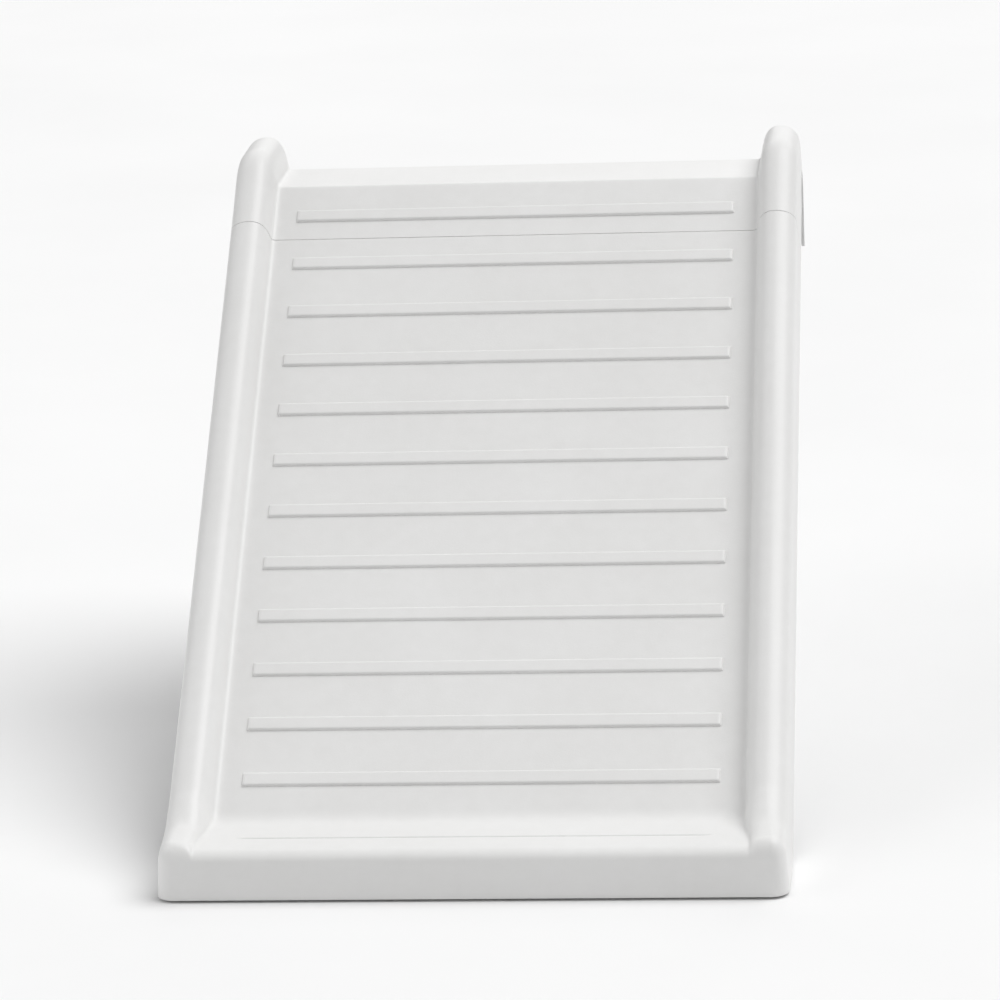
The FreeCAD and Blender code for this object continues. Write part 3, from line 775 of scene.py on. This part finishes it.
knob_l = knob("hand_knob_left", -235.0, "knob_left", "keeper_knob_left")
knob_r = knob("hand_knob_right", 235.0, "knob_right", "keeper_knob_right")


# ---------------------------------------------------------------------------
# materials
# ---------------------------------------------------------------------------
class Tree:
    def __init__(self, name):
        self.mat = bpy.data.materials.new(name)
        self.mat.use_nodes = True
        self.t = self.mat.node_tree
        self.n = self.t.nodes
        self.bsdf = self.n["Principled BSDF"]
        self.coord = self.n.new("ShaderNodeTexCoord")

    def link(self, a, b):
        self.t.links.new(a, b)

    def mapped(self, scale=(1, 1, 1), rot=(0, 0, 0)):
        m = self.n.new("ShaderNodeMapping")
        m.inputs["Scale"].default_value = scale
        m.inputs["Rotation"].default_value = rot
        self.link(self.coord.outputs["Object"], m.inputs["Vector"])
        return m.outputs["Vector"]

    def noise(self, scale, detail=3.0, rough=.5, vec=None, distortion=0.0):
        k = self.n.new("ShaderNodeTexNoise")
        k.inputs["Scale"].default_value = scale
        k.inputs["Detail"].default_value = detail
        k.inputs["Roughness"].default_value = rough
        k.inputs["Distortion"].default_value = distortion
        self.link(vec if vec is not None else self.coord.outputs["Object"], k.inputs["Vector"])
        return k.outputs["Fac"]

    def voronoi(self, scale, feature="F1", vec=None):
        k = self.n.new("ShaderNodeTexVoronoi")
        k.feature = feature
        k.inputs["Scale"].default_value = scale
        self.link(vec if vec is not None else self.coord.outputs["Object"], k.inputs["Vector"])
        return k.outputs["Distance"]

    def wave(self, scale, axis="X", vec=None, distortion=0.0):
        k = self.n.new("ShaderNodeTexWave")
        k.bands_direction = axis
        k.inputs["Scale"].default_value = scale
        k.inputs["Distortion"].default_value = distortion
        self.link(vec if vec is not None else self.coord.outputs["Object"], k.inputs["Vector"])
        return k.outputs["Fac"]

    def ramp(self, fac, stops):
        k = self.n.new("ShaderNodeValToRGB")
        while len(k.color_ramp.elements) < len(stops):
            k.color_ramp.elements.new(.5)
        for e, (pos, col) in zip(k.color_ramp.elements, stops):
            e.position = pos
            e.color = (*col, 1) if hasattr(col, "__len__") else (col, col, col, 1)
        self.link(fac, k.inputs["Fac"])
        return k.outputs["Color"]

    def span(self, fac, lo, hi, a=0.0, b=1.0):
        k = self.n.new("ShaderNodeMapRange")
        k.inputs["From Min"].default_value = a
        k.inputs["From Max"].default_value = b
        k.inputs["To Min"].default_value = lo
        k.inputs["To Max"].default_value = hi
        self.link(fac, k.inputs["Value"])
        return k.outputs["Result"]

    def math(self, op, a, b):
        k = self.n.new("ShaderNodeMath")
        k.operation = op
        for i, v in enumerate((a, b)):
            if isinstance(v, (int, float)):
                k.inputs[i].default_value = v
            else:
                self.link(v, k.inputs[i])
        return k.outputs["Value"]

    def bump(self, height, distance, strength=1.0, under=None):
        k = self.n.new("ShaderNodeBump")
        k.inputs["Distance"].default_value = distance
        k.inputs["Strength"].default_value = strength
        self.link(height, k.inputs["Height"])
        if under is not None:
            self.link(under, k.inputs["Normal"])
        return k.outputs["Normal"]

    def set(self, **kw):
        for k, v in kw.items():
            self.bsdf.inputs[k.replace("_", " ")].default_value = v


def white_plastic():
    m = Tree("white_moulded_plastic")
    cloud = m.noise(5.5, 4, .55)
    fine = m.noise(60.0, 5, .6)
    both = m.math("ADD", m.math("MULTIPLY", cloud, .65), m.math("MULTIPLY", fine, .35))
    m.link(m.ramp(both, [(.30, (.815, .812, .803)), (.55, (.845, .843, .836)), (.75, (.868, .867, .862))]),
           m.bsdf.inputs["Base Color"])
    # handling marks: long faint streaks down the slope that show in the gloss
    streak = m.noise(1.0, 6, .62, vec=m.mapped((55.0, 3.0, 3.0)))
    rough = m.math("ADD", m.span(fine, .34, .42, .3, .7), m.span(streak, -.03, .05, .35, .72))
    m.link(rough, m.bsdf.inputs["Roughness"])
    grain = m.voronoi(1150.0)
    leather = m.noise(430.0, 4, .55)
    slow = m.noise(9.0, 2, .5)
    n1 = m.bump(slow, .0016, .35)
    n2 = m.bump(leather, .00016, .55, n1)
    n3 = m.bump(grain, .00005, .5, n2)
    m.link(n3, m.bsdf.inputs["Normal"])
    m.set(IOR=1.5)
    m.bsdf.inputs["Specular IOR Level"].default_value = .42
    return m.mat


def nylon(name, lo, hi, fibre):
    m = Tree(name)
    cloud = m.noise(42.0, 4, .6)
    spots = m.voronoi(900.0)
    mix = m.math("ADD", m.math("MULTIPLY", cloud, .8), m.math("MULTIPLY", spots, .25))
    m.link(m.ramp(mix, [(.25, lo), (.62, hi)]), m.bsdf.inputs["Base Color"])
    m.link(m.span(cloud, .46, .62, .3, .7), m.bsdf.inputs["Roughness"])
    grain = m.noise(1400.0 if fibre else 900.0, 3, .6, vec=m.mapped((1, 1, .35)) if fibre else None)
    n1 = m.bump(m.noise(160.0, 3, .5), .0002, .4)
    m.link(m.bump(grain, .00008, .6, n1), m.bsdf.inputs["Normal"])
    m.bsdf.inputs["Specular IOR Level"].default_value = .45
    return m.mat


def metal(name, lo, hi, rough, axis_scale, depth, spec_rot=(0, 0, 0)):
    m = Tree(name)
    lines = m.noise(1.0, 4, .65, vec=m.mapped(axis_scale, spec_rot))
    cloud = m.noise(30.0, 3, .5)
    mix = m.math("ADD", m.math("MULTIPLY", lines, .6), m.math("MULTIPLY", cloud, .4))
    m.link(m.ramp(mix, [(.3, lo), (.7, hi)]), m.bsdf.inputs["Base Color"])
    m.link(m.span(mix, rough[0], rough[1], .3, .7), m.bsdf.inputs["Roughness"])
    m.link(m.bump(lines, depth, .5), m.bsdf.inputs["Normal"])
    m.bsdf.inputs["Metallic"].default_value = 1.0
    return m.mat


def rubber():
    m = Tree("moulded_rubber")
    cloud = m.noise(55.0, 4, .6)
    m.link(m.ramp(cloud, [(.3, (.028, .028, .029)), (.7, (.052, .051, .050))]), m.bsdf.inputs["Base Color"])
    m.link(m.span(cloud, .62, .78, .3, .7), m.bsdf.inputs["Roughness"])
    n1 = m.bump(m.noise(700.0, 3, .6), .00012, .6)
    m.link(m.bump(m.noise(95.0, 2, .5), .0003, .3, n1), m.bsdf.inputs["Normal"])
    m.bsdf.inputs["Specular IOR Level"].default_value = .35
    return m.mat


def foam():
    m = Tree("closed_cell_foam")
    cells = m.voronoi(620.0)
    big = m.voronoi(210.0)
    cloud = m.noise(38.0, 4, .6)
    mix = m.math("ADD", m.math("MULTIPLY", cells, .55), m.math("MULTIPLY", cloud, .5))
    m.link(m.ramp(mix, [(.2, (.235, .240, .246)), (.5, (.315, .320, .327)), (.8, (.372, .377, .383))]),
           m.bsdf.inputs["Base Color"])
    m.link(m.span(cells, .95, .82, .0, .8), m.bsdf.inputs["Roughness"])
    n1 = m.bump(big, .0004, .45)
    m.link(m.bump(cells, .0003, .8, n1), m.bsdf.inputs["Normal"])
    m.bsdf.inputs["Specular IOR Level"].default_value = .2
    return m.mat


SLOTS = {
    "white_shell": white_plastic(),
    "grey_nylon": nylon("glass_filled_nylon", (.088, .092, .096), (.142, .147, .152), True),
    "black_nylon": nylon("black_nylon_grained", (.018, .018, .020), (.036, .036, .038), False),
    "aluminium": metal("extruded_aluminium", (.60, .61, .62), (.76, .77, .78), (.30, .44), (14.0, 700.0, 700.0), .00006),
    "stainless": metal("drawn_stainless", (.50, .50, .49), (.68, .68, .67), (.20, .34), (90.0, 900.0, 900.0), .00004),
    "brass": metal("turned_brass", (.55, .39, .15), (.76, .57, .26), (.24, .38), (260.0, 260.0, 1200.0), .00005),
    "black_rubber": rubber(),
    "grey_foam": foam(),
}


def dress(ob, slot_name):
    ob.data.materials.clear()
    ob.data.materials.append(SLOTS[slot_name])
    for p in ob.data.polygons:
        p.material_index = 0


for ob, s in ((ramp_ob, "white_shell"), (saddle_ob, "white_shell"), (pad_ob, "grey_foam"),
              (knob_l, "black_nylon"), (knob_r, "black_nylon")):
    dress(ob, s)
for sub in frame["record"]["subparts"]:
    node = frame["nodes"].get(sub["node"])
    if node is not None:
        node.data.materials.clear()
        node.data.materials.append(SLOTS[sub["material_slot"]])
        for p in node.data.polygons:
            p.material_index = 0


# ---------------------------------------------------------------------------
# floor, light, camera
# ---------------------------------------------------------------------------
fm = bpy.data.meshes.new("studio_floor")
fz = -OZ * .001 - 0.0002
nfl = 12
fv = [(-9 + 18 * i / nfl, -9 + 18 * j / nfl, fz) for j in range(nfl + 1) for i in range(nfl + 1)]
ff = [(j * (nfl + 1) + i, j * (nfl + 1) + i + 1, (j + 1) * (nfl + 1) + i + 1, (j + 1) * (nfl + 1) + i)
      for j in range(nfl) for i in range(nfl)]
fm.from_pydata(fv, [], ff)
floor = new_object("studio_floor", fm)
ft = Tree("pale_floor")
ft.link(ft.ramp(ft.noise(1.6, 4, .5), [(.3, (.915, .915, .915)), (.7, (.94, .94, .94))]), ft.bsdf.inputs["Base Color"])
ft.bsdf.inputs["Roughness"].default_value = .85
ft.bsdf.inputs["Specular IOR Level"].default_value = .15
fm.materials.append(ft.mat)

world = bpy.data.worlds.new("studio")
world.use_nodes = True
bg = world.node_tree.nodes["Background"]
bg.inputs["Color"].default_value = (1.0, 1.0, 1.0, 1)
bg.inputs["Strength"].default_value = .30
wt = world.node_tree
lp = wt.nodes.new("ShaderNodeLightPath")
seen = wt.nodes.new("ShaderNodeBackground")
seen.inputs["Color"].default_value = (.93, .93, .93, 1)
pick = wt.nodes.new("ShaderNodeMixShader")
wt.links.new(lp.outputs["Is Camera Ray"], pick.inputs["Fac"])
wt.links.new(bg.outputs["Background"], pick.inputs[1])
wt.links.new(seen.outputs["Background"], pick.inputs[2])
wt.links.new(pick.outputs["Shader"], wt.nodes["World Output"].inputs["Surface"])
bpy.context.scene.world = world
bpy.context.scene.view_settings.view_transform = "Standard"


def soft_sun(name, towards, strength, spread=50.0):
    """Broad even studio light from the direction given."""
    d = bpy.data.lights.new(name, "SUN")
    d.energy = strength
    d.angle = math.radians(spread)
    o = bpy.data.objects.new(name, d)
    bpy.context.scene.collection.objects.link(o)
    o.rotation_mode = "QUATERNION"
    o.rotation_quaternion = (-Vector(towards)).to_track_quat("-Z", "Y")
    return o


soft_sun("key_top_right", (.46, .10, .87), 1.99, 46.0)
soft_sun("fill_left", (-.85, -.20, .50), .64)
soft_sun("rim_back", (.10, .85, .50), .48)

cam_data = bpy.data.cameras.new("camera")
cam = bpy.data.objects.new("camera", cam_data)
bpy.context.scene.collection.objects.link(cam)
cam_data.sensor_width = 36.0
EYE = Vector((.5495, -5.5812, 1.2613))
yaw, pitch, roll = math.radians(2.406), math.radians(-14.958), math.radians(-.289)
look = Vector((math.sin(yaw) * math.cos(pitch), math.cos(yaw) * math.cos(pitch), math.sin(pitch)))
AIM = Vector((0.0, -.405, -.262))
turn = look.rotation_difference((AIM - EYE).normalized())
cam.rotation_mode = "QUATERNION"
level = look.to_track_quat("-Z", "Y") @ Quaternion((0, 0, 1), roll)
cam.rotation_quaternion = turn @ level
cam.location = EYE
cam_data.lens = 168.0
cam_data.clip_start, cam_data.clip_end = .05, 60.0
bpy.context.scene.camera = cam

bpy.context.view_layer.update()
